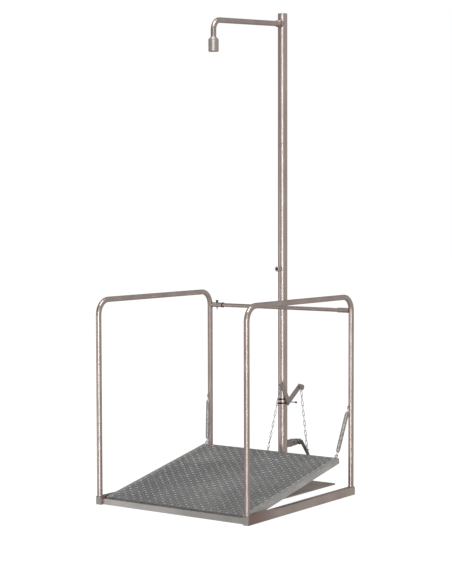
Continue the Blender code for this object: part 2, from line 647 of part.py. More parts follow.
# ---- springs ----
def spring(word, side, bottom, steel, pale):
    """A close-wound tension spring: hook and coil swing on the upright, the lower hook follows the deck."""
    top = Vector((side * SPRING_TOP.x, SPRING_TOP.y, SPRING_TOP.z))
    length = (top - bottom).length
    frame = empty(f"spring_axis_{word}", facing(top, 2 * top - bottom))
    loop = [math.radians(-50 + 300 * step / 14) for step in range(15)]
    path = [(HOOK_R * math.cos(turn), 0, HOOK_R * math.sin(turn) - HOOK_R) for turn in loop]
    neck = 2 * HOOK_R + 0.003
    coil_end = COIL_START + COIL_LENGTH
    path += [(0, 0, -neck), (0, 0, -COIL_START), (0, 0, -COIL_START - 0.002), (0, 0, -coil_end)]
    radii = [WIRE_R] * (len(path) - 2) + [SPRING_R, SPRING_R]
    swept(f"spring_{word}", path, radii, steel, sides=14, parent=frame)
    path = [(HOOK_R * math.cos(turn), 0, HOOK_R - HOOK_R * math.sin(turn) - length) for turn in loop]
    path += [(0, 0, neck - length), (0, 0, -coil_end - GAP)]
    swept(f"spring_hook_{word}", path, WIRE_R, pale, sides=12, parent=frame)


def build():
    clear_scene()
    steel = material("brushed_tube", (0.42, 0.37, 0.34), 0.32, 1.0)
    pale = material("ground_steel", (0.50, 0.48, 0.46), 0.42, 1.0)
    deck = material("tread_deck", (0.20, 0.21, 0.21), 0.55, 0.6)
    dark = material("dark_fittings", (0.10, 0.09, 0.085), 0.5, 0.8)
    brass = material("valve_casting", (0.34, 0.30, 0.27), 0.45, 1.0)
    zinc = material("zinc_chain", (0.70, 0.68, 0.66), 0.3, 1.0)
    cutter = pipe_cutter(steel)
    base_frame(steel, pale)
    guard_rails(steel)
    cross_bar(steel, dark)
    standpipe(steel, dark, cutter)
    nozzle(steel, dark)
    hinge = platform(pale, deck, dark)
    crank_bracket(steel, dark)
    bell_crank(steel, dark)
    inlet_valve(steel, brass, dark, cutter)
    valve_lever(dark, pale)
    bpy.context.view_layer.update()
    deck_frame = hinge.matrix_world
    stud = deck_frame @ CHAIN_PIN
    chain("platform_chain", stud, Vector((FRONT_CHAIN_X, FRONT_TIP.y, FRONT_TIP.z)), zinc)
    pin = Vector((REAR_CHAIN_X, LEVER_PIN.y, LEVER_PIN.z))
    chain("valve_chain", pin, Vector((REAR_CHAIN_X, REAR_TIP.y, REAR_TIP.z)), zinc)
    for side, word in ((-1, "left"), (1, "right")):
        eye = deck_frame @ Vector((side * SPRING_EYE.x, SPRING_EYE.y, SPRING_EYE.z))
        spring(word, side, eye, steel, zinc)


build()
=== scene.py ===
import math

import bpy
from mathutils import Matrix, Vector


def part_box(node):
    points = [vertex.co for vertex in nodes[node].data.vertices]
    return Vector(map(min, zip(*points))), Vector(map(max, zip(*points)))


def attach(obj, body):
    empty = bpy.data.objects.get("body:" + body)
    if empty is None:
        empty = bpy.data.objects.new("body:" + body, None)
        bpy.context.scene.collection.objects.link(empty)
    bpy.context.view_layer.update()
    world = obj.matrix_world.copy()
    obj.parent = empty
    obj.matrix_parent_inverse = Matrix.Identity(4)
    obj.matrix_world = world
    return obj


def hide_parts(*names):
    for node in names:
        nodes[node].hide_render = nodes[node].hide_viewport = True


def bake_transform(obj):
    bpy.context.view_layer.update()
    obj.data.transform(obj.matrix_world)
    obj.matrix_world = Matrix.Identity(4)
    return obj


# Walk-on emergency shower: the finishes, and the welds, tread, springs and chains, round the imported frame.
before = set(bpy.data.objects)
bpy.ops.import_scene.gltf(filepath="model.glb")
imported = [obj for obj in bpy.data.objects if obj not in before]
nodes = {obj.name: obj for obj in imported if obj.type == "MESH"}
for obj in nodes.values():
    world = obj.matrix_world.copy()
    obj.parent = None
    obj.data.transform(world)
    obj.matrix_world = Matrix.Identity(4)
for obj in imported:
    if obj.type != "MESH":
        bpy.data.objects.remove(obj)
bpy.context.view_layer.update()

# ---- Camera: at eye height, in front of the shower and to its right, about eight metres away ----
# A long lens, turned down a little, with a trace of roll.
EYE = (4.4408, -6.6951, 1.4601)
TURN, DROP, ROLL = math.radians(35.655), math.radians(3.22), math.radians(-0.146)
aim = Matrix.Rotation(TURN, 4, "Z")
aim = aim @ Matrix.Rotation(math.pi / 2 - DROP, 4, "X") @ Matrix.Rotation(ROLL, 4, "Z")
camera = bpy.data.objects.new("camera", bpy.data.cameras.new("camera"))
camera.data.lens, camera.data.sensor_width = 95.52, 36.0
camera.matrix_world = Matrix.Translation(EYE) @ aim
bpy.context.scene.collection.objects.link(camera)
bpy.context.scene.camera = camera
bpy.context.scene.view_settings.view_transform = "Standard"


# ---- Studio: pale floor, a tall soft box behind the camera, one at the left, one overhead, dim walls ----
# The walls only show in the metal, the left one darker; the backdrop and the floor stay white.
class Wire:
    """One output in a node tree. Arithmetic on it adds Math nodes, and node() adds any other node."""

    def __init__(self, tree, socket):
        self.tree = tree
        self.socket = socket

    def node(self, kind, settings=None, sockets=None, output=0):
        made = self.tree.nodes.new(kind)
        for name, value in (settings or {}).items():
            if name == "stops":
                bands = made.color_ramp.elements
                while len(bands) < len(value):
                    bands.new(0.5)
                for band, (place, tint) in zip(bands, value):
                    band.position = place
                    band.color = tint
            else:
                setattr(made, name, value)
        for name, value in (sockets or {}).items():
            if isinstance(value, Wire):
                self.tree.links.new(value.socket, made.inputs[name])
            else:
                made.inputs[name].default_value = value
        return Wire(self.tree, made.outputs[output]) if made.outputs else None

    def maths(self, operation, *values):
        return self.node("ShaderNodeMath", {"operation": operation}, dict(enumerate(values)))

    def __add__(self, other):
        return self.maths("ADD", self, other)

    def __sub__(self, other):
        return self.maths("SUBTRACT", self, other)

    def __rsub__(self, other):
        return self.maths("SUBTRACT", other, self)

    def __mul__(self, other):
        return self.maths("MULTIPLY", self, other)

    def __truediv__(self, other):
        return self.maths("DIVIDE", self, other)

    __radd__ = __add__
    __rmul__ = __mul__

    def tint(self, low, high):
        """The colour low where this is 0, and high where it is 1."""
        return self.node("ShaderNodeMix", {"data_type": "RGBA"}, {0: self, 6: low, 7: high}, 2)

    def step(self, low, high):
        """0 up to low, 1 from high, smooth between them."""
        return self.node("ShaderNodeMapRange", {"interpolation_type": "SMOOTHSTEP"},
                         {"Value": self, "From Min": low, "From Max": high})

    def along(self, axis):
        """One coordinate of a vector: 0, 1 or 2."""
        return self.node("ShaderNodeSeparateXYZ", None, {0: self}, axis)

    def noise(self, scale, detail=2.0, stretch=(1, 1, 1)):
        spread = self.node("ShaderNodeMapping", None, {"Vector": self, "Scale": stretch})
        return self.node("ShaderNodeTexNoise", None, {"Vector": spread, "Scale": scale, "Detail": detail})


world = bpy.data.worlds.new("studio")
bpy.context.scene.world = world
world.use_nodes = True
world.node_tree.nodes.clear()
path = Wire(world.node_tree, world.node_tree.nodes.new("ShaderNodeLightPath").outputs["Is Camera Ray"])
toward = Wire(world.node_tree, world.node_tree.nodes.new("ShaderNodeTexCoord").outputs["Generated"])
LEFT_WALL, RIGHT_WALL = (0.25, 0.245, 0.24, 1), (0.39, 0.385, 0.38, 1)
BACKDROP = (1.0, 1.0, 1.0, 1)
walls = toward.along(0).step(-0.7, 0.6).tint(LEFT_WALL, RIGHT_WALL)
sky = path.node("ShaderNodeBackground", None, {"Color": path.tint(walls, BACKDROP)})
path.node("ShaderNodeOutputWorld", None, {"Surface": sky})


def soft_box(name, place, target, width, height, power):
    lamp = bpy.data.lights.new(name, "AREA")
    lamp.shape = "RECTANGLE"
    lamp.size, lamp.size_y, lamp.energy = width, height, power
    made = bpy.data.objects.new(name, lamp)
    made.location = place
    made.rotation_euler = (Vector(target) - Vector(place)).to_track_quat("-Z", "Y").to_euler()
    bpy.context.scene.collection.objects.link(made)


soft_box("tall_box", (4.5, -8.1, 1.2), (0, -0.3, 1.2), 1.4, 6.4, 155)
soft_box("side_box", (-6.5, -7.0, -0.6), (0, -0.9, 0), 2.6, 4.6, 36)
soft_box("top_box", (0.5, -2.2, 5.5), (0, -0.4, 0), 3.0, 3.0, 85)

REACH, FLOOR_Z = 30.0, -0.001
floor_mesh = bpy.data.meshes.new("floor")
floor_mesh.from_pydata([(-REACH, -REACH, FLOOR_Z), (REACH, -REACH, FLOOR_Z), (REACH, REACH, FLOOR_Z),
                        (-REACH, REACH, FLOOR_Z)], [], [(0, 1, 2, 3)])
floor = bpy.data.objects.new("floor", floor_mesh)
bpy.context.scene.collection.objects.link(floor)
floor.visible_glossy = False
floor.visible_shadow = False
paint = bpy.data.materials.new("floor_paint")
paint.use_nodes = True
coat = paint.node_tree.nodes["Principled BSDF"]
coat.inputs["Base Color"].default_value = (0.30, 0.30, 0.30, 1)
coat.inputs["Roughness"].default_value = 0.9
coat.inputs["Emission Color"].default_value = (1, 1, 1, 1)
coat.inputs["Emission Strength"].default_value = 0.93
floor_mesh.materials.append(paint)


# ---- Base frame: two rectangular side bars with end caps, a front bar, a strap and the floor plate ----
# Rectangular stainless tube, cut square, ground at the corners and capped. The floor plate is cold-rolled
# sheet with mill marks along its length.
def new_finish(name, **constants):
    """A material, its Object coordinates as a Wire, and a function that links a Wire to its shader."""
    made = bpy.data.materials.new(name)
    made.use_nodes = True
    tree = made.node_tree
    shader = tree.nodes["Principled BSDF"]
    for socket, value in constants.items():
        shader.inputs[socket.replace("_", " ")].default_value = value
    place = Wire(tree, tree.nodes.new("ShaderNodeTexCoord").outputs["Object"])

    def feed(socket, wire):
        tree.links.new(wire.socket, shader.inputs[socket])

    return made, place, feed


def metal(name, dull, bright, grain, rough=(0.24, 0.36), bite=0.00001, cloud=7.0):
    """Worn metal: cloudy tone, a fine grain stretched as given, and roughness that follows both."""
    made, place, feed = new_finish(name, Metallic=1.0)
    clouds = place.noise(cloud, 5.0)
    lines = place.noise(1.0, 3.0, grain)
    spots = place.noise(160.0, 2.0).step(0.66, 0.78)
    tone = clouds.step(0.30, 0.72) * 0.75 + lines.step(0.3, 0.7) * 0.25
    feed("Base Color", (tone - spots * 0.25).tint((*dull, 1), (*bright, 1)))
    feed("Roughness", rough[0] + (clouds * 0.5 + lines * 0.5) * (rough[1] - rough[0]) * 1.6)
    feed("Normal", lines.node("ShaderNodeBump", None, {"Strength": 0.5, "Distance": bite, "Height": lines}))
    return made


def dress(finish, *names):
    """Gives a CAD node's every material slot that finish."""
    for name in names:
        for place in nodes[name].material_slots:
            place.material = finish


WARM_DULL, WARM_BRIGHT = (0.62, 0.515, 0.475), (0.80, 0.675, 0.625)
along_x, along_y, along_z = (14, 900, 900), (900, 14, 900), (900, 900, 4)
front_steel = metal("front_bar_steel", (0.52, 0.505, 0.485), (0.72, 0.695, 0.67), along_x)
cap_steel = metal("cap_steel", (0.52, 0.50, 0.48), (0.74, 0.715, 0.69), (300, 300, 300), (0.34, 0.5))
sheet_steel = metal("floor_plate_steel", (0.46, 0.395, 0.36), (0.66, 0.575, 0.535), along_y, (0.34, 0.5))
bar_steel, place, feed = new_finish("bar_steel", Metallic=1.0)
clouds, lines = place.noise(7.0, 5.0), place.noise(1.0, 3.0, along_y)
BROWN_FRONT, BROWN_REAR, BROWN = -0.93, -0.66, (0.44, 0.32, 0.275, 1)
brown = 1 - place.along(1).step(BROWN_FRONT, BROWN_REAR)
tone = clouds.step(0.30, 0.72) * 0.75 + lines.step(0.3, 0.7) * 0.25
feed("Base Color", brown.tint(tone.tint((*WARM_DULL, 1), (*WARM_BRIGHT, 1)), BROWN))
feed("Roughness", 0.26 + clouds * 0.12)
feed("Normal", lines.node("ShaderNodeBump", None, {"Strength": 0.5, "Distance": 0.00003, "Height": lines}))
dress(bar_steel, "side_bar_left", "side_bar_right", "tie_strap")
dress(front_steel, "front_bar")
# The rear caps take the front caps' finish made darker: painted shade.
rear_cap_shaded_steel = metal("rear_cap_painted_shade_steel", (0.20, 0.18, 0.165), (0.38, 0.345, 0.32), (300, 300, 300), (0.34, 0.5))
dress(cap_steel, "bar_cap_front_left", "bar_cap_front_right")
dress(rear_cap_shaded_steel, "bar_cap_rear_left", "bar_cap_rear_right")
dress(sheet_steel, "floor_plate")


def new_tree(name, **sizes):
    """A Geometry Nodes tree with a geometry going in and out and one named input for each size."""
    tree = bpy.data.node_groups.new(name, "GeometryNodeTree")
    face = tree.interface
    face.new_socket("Geometry", in_out="OUTPUT", socket_type="NodeSocketGeometry")
    face.new_socket("Geometry", in_out="INPUT", socket_type="NodeSocketGeometry")
    kinds = {int: "NodeSocketInt", float: "NodeSocketFloat", bpy.types.Material: "NodeSocketMaterial"}
    for size, kind in sizes.items():
        face.new_socket(size, in_out="INPUT", socket_type=kinds[kind])
    entry = tree.nodes.new("NodeGroupInput")
    wires = {socket.name: Wire(tree, socket) for socket in entry.outputs if socket.name}
    return tree, wires


def close_tree(tree, shape, material):
    """Ends a tree in Realize Instances and Set Material."""
    real = shape.node("GeometryNodeRealizeInstances", None, {"Geometry": shape})
    done = real.node("GeometryNodeSetMaterial", None, {"Geometry": real, "Material": material})
    done.node("NodeGroupOutput", None, {"Geometry": done})


def grow(name, mesh, tree, **sizes):
    """Runs a tree on a mesh and returns the plain mesh it makes as a new object."""
    seed = bpy.data.objects.new(f"{name}_seed", mesh)
    bpy.context.scene.collection.objects.link(seed)
    step = seed.modifiers.new("grow", "NODES")
    step.node_group = tree
    inputs = {item.name: item.identifier for item in tree.interface.items_tree if item.in_out == "INPUT"}
    for size, value in sizes.items():
        step[inputs[size]] = value
    seed.update_tag()
    depsgraph = bpy.context.evaluated_depsgraph_get()
    plain = bpy.data.meshes.new_from_object(seed.evaluated_get(depsgraph))
    plain.name = name
    bpy.data.objects.remove(seed)
    made = bpy.data.objects.new(name, plain)
    bpy.context.scene.collection.objects.link(made)
    return made


def polyline(name, lines):
    """A mesh of edges only; each line is (points, closed)."""
    mesh = bpy.data.meshes.new(name)
    points, edges = [], []
    for line, closed in lines:
        first = len(points)
        points += [tuple(point) for point in line]
        last = len(line) if closed else len(line) - 1
        edges += [(first + step, first + (step + 1) % len(line)) for step in range(last)]
    mesh.from_pydata(points, edges, [])
    return mesh


# Weld beads: overlapping scales of filler along each seam, straw and blue where the heat reached.
weld_tree, weld = new_tree("weld_bead", Bead=float, Step=float, Material=bpy.types.Material)
seam = weld["Geometry"].node("GeometryNodeMeshToCurve", None, {"Mesh": weld["Geometry"]})
ticks = seam.node("GeometryNodeCurveToPoints", {"mode": "LENGTH"}, {"Curve": seam, "Length": weld["Step"]})
facing = Wire(weld_tree, ticks.socket.node.outputs["Rotation"])
scale = seam.node("GeometryNodeMeshIcoSphere", None, {"Radius": weld["Bead"], "Subdivisions": 2})
sized = seam.node("FunctionNodeRandomValue", {"data_type": "FLOAT"}, {2: 0.82, 3: 1.12, "Seed": 5}, 1)
beads = seam.node("GeometryNodeInstanceOnPoints", None,
                  {"Points": ticks, "Instance": scale, "Rotation": facing, "Scale": sized})
close_tree(weld_tree, beads, weld["Material"])

bead_metal, spot, feed = new_finish("weld_metal", Metallic=1.0)
heat = spot.noise(130.0, 2.0)
feed("Base Color", heat.node("ShaderNodeValToRGB", {"stops": [
    (0.30, (0.20, 0.165, 0.15, 1)), (0.45, (0.42, 0.36, 0.33, 1)), (0.60, (0.36, 0.29, 0.24, 1)),
    (0.75, (0.56, 0.50, 0.47, 1))]}, {"Fac": heat}))
feed("Roughness", 0.34 + heat * 0.3)
feed("Normal", heat.node("ShaderNodeBump", None, {"Strength": 0.5, "Distance": 0.0003, "Height": heat}))


def smooth(piece):
    piece.data.shade_smooth()
    return piece


def weld_seams(name, body, lines, bead=0.0018):
    made = grow(name, polyline(name, lines), weld_tree, Bead=bead, Step=bead * 1.05, Material=bead_metal)
    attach(smooth(made), body)


def ring(centre, radius, normal, steps=32):
    """Points on a circle about a centre, square to a normal."""
    turn = Vector(normal).to_track_quat("Z", "Y").to_matrix()
    return [Vector(centre) + turn @ Vector((radius * math.cos(math.tau * step / steps),
                                            radius * math.sin(math.tau * step / steps), 0))
            for step in range(steps)]


bar_low, bar_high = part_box("front_bar")
strap_low, strap_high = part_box("tie_strap")
plate_low, plate_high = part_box("floor_plate")
base_seams = []
for end in (bar_low.x, bar_high.x):
    base_seams.append(([(end, bar_low.y, bar_low.z), (end, bar_low.y, bar_high.z),
                        (end, bar_high.y, bar_high.z), (end, bar_high.y, bar_low.z)], False))
    base_seams.append(([(end, strap_low.y, strap_high.z), (end, strap_high.y, strap_high.z)], False))
base_seams.append(([(plate_low.x, strap_high.y, strap_high.z),
                    (plate_high.x, strap_high.y, strap_high.z)], False))
weld_seams("base_welds", "root", base_seams)

# ---- Guard rails: an inverted U of stainless tube on each side, bent cold and welded to the side bar ----
# The tube is satin ground, its grain along the legs and along the top.
rail_low, rail_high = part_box("guard_rail_right")
RAIL_R = 0.01345
front_y, rear_y = rail_low.y + RAIL_R, rail_high.y - RAIL_R
rail_x = (rail_low.x + rail_high.x) / 2
BEND_LOW, BEND_HIGH = rail_high.z - 0.08, rail_high.z - 0.04
FOOT_LOW, FOOT_HIGH = 0.045, 0.10
rail_steel, place, feed = new_finish("rail_steel", Metallic=1.0)
top = place.along(2).step(BEND_LOW, BEND_HIGH)
legs = place.noise(1.0, 3.0, along_z)
tops = place.noise(1.0, 3.0, along_y)
lines = top * tops + (1 - top) * legs
clouds = place.noise(9.0, 5.0)
foot = 1 - place.along(2).step(FOOT_LOW, FOOT_HIGH)
tone = clouds.step(0.3, 0.72) * 0.7 + lines.step(0.3, 0.7) * 0.3
feed("Base Color", (tone - foot * 0.4).tint((*WARM_DULL, 1), (*WARM_BRIGHT, 1)))
feed("Roughness", 0.27 + (clouds + lines) * 0.05)
feed("Normal", lines.node("ShaderNodeBump", None, {"Strength": 0.4, "Distance": 0.00001, "Height": lines}))
dress(rail_steel, "guard_rail_left", "guard_rail_right", "upright_lug_left", "upright_lug_right")
rail_seams = []
lug_low, lug_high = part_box("upright_lug_right")
for side in (-1, 1):
    for y in (front_y, rear_y):
        rail_seams.append((ring((side * rail_x, y, rail_low.z), RAIL_R + 0.0006, (0, 0, 1)), True))
    for face in (lug_low.x, lug_high.x):
        rail_seams.append(([(side * face, lug_high.y, lug_low.z + 0.001),
                            (side * face, lug_high.y, lug_high.z - 0.001)], False))
weld_seams("rail_welds", "root", rail_seams)

# ---- Standpipe and overhead arm: 48 mm pipe with a welded cap, a 27 mm arm welded into its side ----
# Drawn pipe, ground lengthwise, with faint handling marks; the arm is bent from the rails' tube.
pipe_steel = metal("pipe_steel", (0.66, 0.56, 0.52), (0.83, 0.71, 0.665), along_z, (0.27, 0.29),
                   bite=0.000002, cloud=4.0)
arm_steel = metal("arm_steel", WARM_DULL, WARM_BRIGHT, (60, 14, 60), (0.28, 0.32), bite=0.000002)
dress(pipe_steel, "standpipe", "pipe_cap", "side_port")
dress(arm_steel, "overhead_arm")
PIPE_R, ARM_Z, INLET_Z = 0.02415, 2.386, 0.210
port_low, port_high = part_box("side_port")
port_z = (port_low.z + port_high.z) / 2


def saddle(radius, height, axis, steps=28):
    """The seam where a branch of that radius, square to the standpipe, meets its wall."""
    points = []
    for step in range(steps):
        turn = math.tau * step / steps
        side = radius * math.cos(turn)
        out = math.sqrt(PIPE_R ** 2 - side ** 2)
        points.append(Vector((side, axis * out, height + radius * math.sin(turn))))
    return points


FRONT, REAR = -1, 1
FOOT_Z, PORT_SEAM, INLET_SEAM, ARM_SEAM = 0.009, 0.0103, 0.0198, 0.0178
weld_seams("pipe_welds", "root", [(ring((0, 0, FOOT_Z), PIPE_R + 0.0012, (0, 0, 1)), True),
                                  (saddle(PORT_SEAM, port_z, FRONT), True),
                                  (saddle(INLET_SEAM, INLET_Z, REAR), True)])
weld_seams("arm_weld", "root", [(saddle(ARM_SEAM, ARM_Z, FRONT), True)], 0.0028)


def band(name, low, high, inner, outer, finish):
    """A closed ring between two points on its axis, its outer edges chamfered."""
    axis, bevel, steps = (Vector(high) - Vector(low)).normalized(), 0.001, 32
    profile = ((low, 0, inner), (low, 0, outer - bevel), (low, bevel, outer), (high, -bevel, outer),
               (high, 0, outer - bevel), (high, 0, inner))
    points, faces = [], []
    for index, (end, shift, radius) in enumerate(profile):
        points += [tuple(point) for point in ring(Vector(end) + axis * shift, radius, axis, steps)]
        first, after = index * steps, (index + 1) % len(profile) * steps
        for step in range(steps):
            turn = (step + 1) % steps
            faces.append((first + step, first + turn, after + turn, after + step))
    mesh = bpy.data.meshes.new(name)
    mesh.from_pydata(points, [], faces)
    mesh.materials.append(finish)
    made = bpy.data.objects.new(name, mesh)
    bpy.context.scene.collection.objects.link(made)
    smooth(made)
    mesh.set_sharp_from_angle(angle=math.radians(30))
    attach(made, "root")


socket_steel = metal("arm_socket_steel", (0.30, 0.26, 0.24), (0.84, 0.75, 0.71), (90, 90, 90), (0.2, 0.4),
                     cloud=50.0)
ARM_FALL = 0.0587
COLLAR_Y, COLLAR_LONG, COLLAR_R = -0.0255, 0.0265, 0.0172
band("arm_socket", (0, COLLAR_Y, ARM_Z), (0, COLLAR_Y - COLLAR_LONG, ARM_Z - COLLAR_LONG * ARM_FALL),
     RAIL_R + 0.0003, COLLAR_R, socket_steel)

# ---- Shower nozzle: a turned bell with a perforated plate of small jets in its mouth ----
# The bell is machined from bar; the plate is drilled and each jet is a short lip.
nozzle_steel = metal("nozzle_steel", (0.72, 0.64, 0.60), (0.90, 0.82, 0.78), (20, 20, 900), (0.32, 0.42),
                     bite=0.000002)
jet_metal = metal("spray_plate_steel", (0.22, 0.20, 0.185), (0.40, 0.37, 0.35), (400, 400, 400), (0.3, 0.5))
dress(nozzle_steel, "nozzle_body")
dress(jet_metal, "spray_plate")
jet_tree, jet = new_tree("spray_jets", Radius=float, Wall=float, Lip=float, Material=bpy.types.Material)
lip = jet["Radius"].node("GeometryNodeCurvePrimitiveCircle", None, {
    "Resolution": 14, "Radius": jet["Radius"]})
section = lip.node("GeometryNodeCurvePrimitiveQuadrilateral", None, {
    "Width": jet["Wall"], "Height": jet["Lip"]})
collar = lip.node("GeometryNodeCurveToMesh", None, {"Curve": lip, "Profile Curve": section})
jets = collar.node("GeometryNodeInstanceOnPoints", None, {"Points": jet["Geometry"], "Instance": collar})
close_tree(jet_tree, jets, jet["Material"])
spray_low, spray_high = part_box("spray_plate")
mouth = (spray_low + spray_high) / 2
JET_R, JET_WALL, JET_LIP = 0.0014, 0.0007, 0.0012
jet_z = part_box("nozzle_body")[0].z + 0.003 - JET_LIP / 2
spots = [mouth.xy]
for row, count in ((0.0068, 6), (0.0132, 12)):
    spots += [point.xy for point in ring((mouth.x, mouth.y, 0), row, (0, 0, 1), count)]
jet_seeds = bpy.data.meshes.new("jet_seeds")
jet_seeds.from_pydata([(*point, jet_z) for point in spots], [], [])
jet_rings = grow("spray_jets", jet_seeds, jet_tree, Radius=JET_R, Wall=JET_WALL, Lip=JET_LIP,
                 Material=jet_metal)
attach(jet_rings, "root")

# ---- Cross bar: a thin telescopic tie between the rear uprights, locked by a T-handled pin ----
# Two sockets of drawn tube welded to the uprights; the pin is blackened steel.
cross_steel = metal("cross_bar_steel", WARM_DULL, WARM_BRIGHT, along_x, (0.2, 0.34))
pin_steel = metal("blackened_steel", (0.06, 0.052, 0.048), (0.13, 0.115, 0.105), (500, 500, 500), (0.35, 0.5))
dress(cross_steel, "cross_bar", "cross_socket_left", "cross_socket_right")
dress(pin_steel, "locking_pin")
socket_low, socket_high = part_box("cross_socket_right")
cross_z = (socket_low.z + socket_high.z) / 2
socket_r = (socket_high.z - socket_low.z) / 2 + 0.0006
cross_seams = []
for side in (-1, 1):
    points = []
    for step in range(24):
        turn = math.tau * step / 24
        y = socket_r * math.cos(turn)
        points.append((side * (rail_x - math.sqrt(RAIL_R ** 2 - y ** 2) - 0.0004), rear_y + y,
                       cross_z + socket_r * math.sin(turn)))
    cross_seams.append((points, True))
weld_seams("cross_bar_welds", "root", cross_seams, 0.0015)
CLIP_X, CLIP_INNER, CLIP_OUTER = (-0.357, -0.3498), 0.0127, 0.0136
band("cross_socket_ring", (CLIP_X[0], rear_y, cross_z), (CLIP_X[1], rear_y, cross_z), CLIP_INNER, CLIP_OUTER,
     pin_steel)

# ---- Platform: a tray of folded sheet whose top is tread plate, rolled with a lens pattern ----
# The tread is dull grey; its lug tops are worn bright and coloured lighter still as a painted highlight. The
# folded sides are ground sheet. It tilts on two pins at its front edge.
TILT = math.radians(11.2)
hinge_low, hinge_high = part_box("hinge_pin_right")
hinge = Vector((0, (hinge_low.y + hinge_high.y) / 2, (hinge_low.z + hinge_high.z) / 2))
deck_frame = Matrix.Translation(hinge) @ Matrix.Rotation(TILT, 4, "X")
deck_normal = (0, -math.sin(TILT), math.cos(TILT))
DECK_TOP, DECK_HALF, DECK_FRONT, DECK_REAR = 0.014, 0.419, -0.012, 0.812
LUG_PITCH, LUG_LONG, LUG_WIDE, LUG_HIGH = 0.0232, 0.0232, 0.0086, 0.0020
LUG_MARGIN, LUG_SINK = 0.034, 0.0002

tread_steel, place, feed = new_finish("tread_steel", Metallic=0.9)
up = place.node("ShaderNodeVectorMath", {"operation": "DOT_PRODUCT"}, {0: place, 1: deck_normal}, 1)
level = up - Vector(deck_normal).dot(hinge) - DECK_TOP
# Lug tops: real wear, and a lighter colour on top of it as a painted highlight; the same mask smooths their
# roughness.
lug_tops_worn_and_highlit = level.step(LUG_HIGH * 0.55, LUG_HIGH * 0.95)
clouds = place.noise(5.0, 6.0)
scuffs = place.noise(1.0, 4.0, (260, 40, 260)).step(0.52, 0.72)
grime = place.noise(60.0, 3.0).step(0.45, 0.65)
ground = clouds.step(0.3, 0.7) * 0.6 + scuffs * 0.4 - grime * 0.25
ground = ground.tint((0.37, 0.376, 0.379, 1), (0.62, 0.628, 0.630, 1))
across = place.along(0)
border = across.maths("ABSOLUTE", across).step(DECK_HALF - 0.040, DECK_HALF - 0.010)
ground = border.tint(ground, (0.72, 0.71, 0.69, 1))
# The lug-top colour, near white: part wear, part painted highlight.
rubbed_and_highlit = place.noise(75.0, 2.0).step(0.35, 0.65)
rubbed_and_highlit = rubbed_and_highlit.tint((0.44, 0.448, 0.452, 1), (0.97, 0.98, 0.98, 1))
feed("Base Color", lug_tops_worn_and_highlit.tint(ground, rubbed_and_highlit))
feed("Roughness", 0.46 - lug_tops_worn_and_highlit * 0.20 + grime * 0.12)
feed("Normal", grime.node("ShaderNodeBump", None, {"Strength": 0.4, "Distance": 0.0002, "Height": grime}))
dress(tread_steel, "tread_plate")
skirt_steel = metal("skirt_steel", (0.72, 0.71, 0.69), (0.94, 0.925, 0.90), along_y, (0.36, 0.5))
dress(skirt_steel, "platform_side_left", "platform_side_right", "platform_front", "platform_rear",
      "platform_rib", "platform_lug_left", "platform_lug_right", "chain_lug")
dress(pin_steel, "hinge_pin_left", "hinge_pin_right")

lug_tree, lug = new_tree("tread_lugs", Columns=int, Rows=int, Pitch=float, Length=float, Width=float,
                         Height=float, Material=bpy.types.Material)
grid = lug["Pitch"].node("GeometryNodeMeshGrid", None, {
    "Size X": (lug["Columns"] - 1) * lug["Pitch"], "Size Y": (lug["Rows"] - 1) * lug["Pitch"],
    "Vertices X": lug["Columns"], "Vertices Y": lug["Rows"]})
cone = grid.node("GeometryNodeMeshCone", None, {"Vertices": 8, "Side Segments": 1, "Fill Segments": 1,
                                                "Radius Top": 0.62, "Radius Bottom": 1.0, "Depth": 1.0})
lens = cone.node("ShaderNodeCombineXYZ", None, {
    "X": lug["Length"] / 2, "Y": lug["Width"] / 2, "Z": lug["Height"]})
lens = cone.node("GeometryNodeTransform", None, {"Geometry": cone, "Scale": lens})
index = grid.node("GeometryNodeInputIndex")
turned = index.maths("MODULO", index, 2) * math.pi / 2 + math.pi / 4
turned = index.node("ShaderNodeCombineXYZ", None, {"Z": turned})
lugs = grid.node("GeometryNodeInstanceOnPoints", None, {"Points": grid, "Instance": lens, "Rotation": turned})
close_tree(lug_tree, lugs, lug["Material"])
columns = int((2 * DECK_HALF - LUG_MARGIN) / LUG_PITCH) + 1
rows = int((DECK_REAR - DECK_FRONT - LUG_MARGIN) / LUG_PITCH) // 2 * 2 + 1
tread = grow("tread_lugs", bpy.data.meshes.new("tread_seed"), lug_tree, Columns=columns, Rows=rows,
             Pitch=LUG_PITCH, Length=LUG_LONG, Width=LUG_WIDE, Height=LUG_HIGH, Material=tread_steel)
middle = Vector((0, (DECK_FRONT + DECK_REAR) / 2, DECK_TOP - LUG_SINK))
tread.data.transform(deck_frame @ Matrix.Translation(middle))
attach(tread, "platform")

LUG_FACES, SEAM_Y, SEAM_Z = (0.3995, 0.4045), (0.800, 0.811), DECK_TOP + 0.0008
deck_seams = []
for side in (-1, 1):
    for x in LUG_FACES:
        deck_seams.append(([deck_frame @ Vector((side * x, y, SEAM_Z)) for y in SEAM_Y], False))
weld_seams("platform_welds", "platform", deck_seams, 0.0013)

